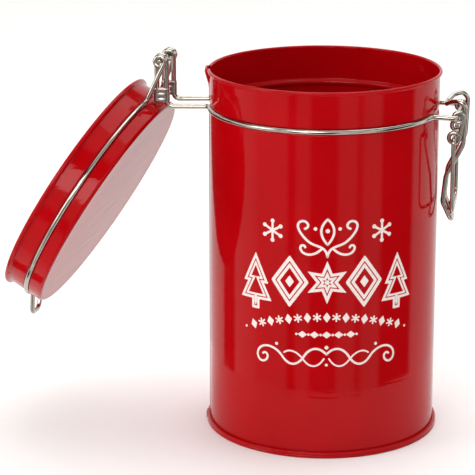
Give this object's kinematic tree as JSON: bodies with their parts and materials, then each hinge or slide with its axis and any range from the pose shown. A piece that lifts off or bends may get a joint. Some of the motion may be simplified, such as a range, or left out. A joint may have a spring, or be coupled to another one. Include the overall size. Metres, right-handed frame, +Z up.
{
  "type": "clip-top storage tin",
  "caption": "Tall round tinplate canister with a slip-over cap on a wire hinge, held shut by an over-centre wire lever and link.",
  "frame": {"origin": "centre of the foot ring, in the plane that the tin stands on", "axes": "+Z up along the tin's axis, -X towards the hinge, +X towards the latch, -Y towards the decorated front"},
  "size_m": [0.2189, 0.1176, 0.1807],
  "materials": {
    "lacquered_tinplate": "gloss red lacquer over tinplate, with an off-white one-colour print on the front of the wall",
    "bail_wire": "nickel-plated drawn steel wire",
    "ferrule": "crimped plated steel sleeve",
    "seal": "matt translucent white rubber"
  },
  "bodies": {
    "tin": {"body_wall": "lacquered_tinplate", "base_end": "lacquered_tinplate", "neck_wire": "bail_wire", "hinge_ferrule_near": "ferrule", "hinge_ferrule_far": "ferrule"},
    "rod": {"hinge_rod": "bail_wire"},
    "lid": {"lid_cap": "lacquered_tinplate", "lid_seal_ring": "seal", "lid_wire": "bail_wire"},
    "lever": {"lever_handle": "bail_wire", "lever_eye_near": "bail_wire", "lever_eye_far": "bail_wire"},
    "link": {"link_loop": "bail_wire"}
  },
  "joints": [
    {"name": "rod_slide", "type": "slide", "parent": "tin", "child": "rod", "axis": [0, 0, 1], "range_m": [-0.0049, 0]},
    {"name": "lid_hinge", "type": "hinge", "parent": "rod", "child": "lid", "pos_m": [-0.0758, 0, 0.1766], "axis": [0.0299, 0.998, -0.0549], "range_deg": [0, 238.8]},
    {"name": "lever_pivot", "type": "hinge", "parent": "tin", "child": "lever", "pos_m": [0.0636, 0, 0.1552], "axis": [0, -1, 0], "range_deg": [0, 156]},
    {"name": "link_hinge", "type": "hinge", "parent": "lever", "child": "link", "pos_m": [0.0618, 0, 0.1455], "axis": [0, -1, 0], "range_deg": [0, 182]}
  ]
}
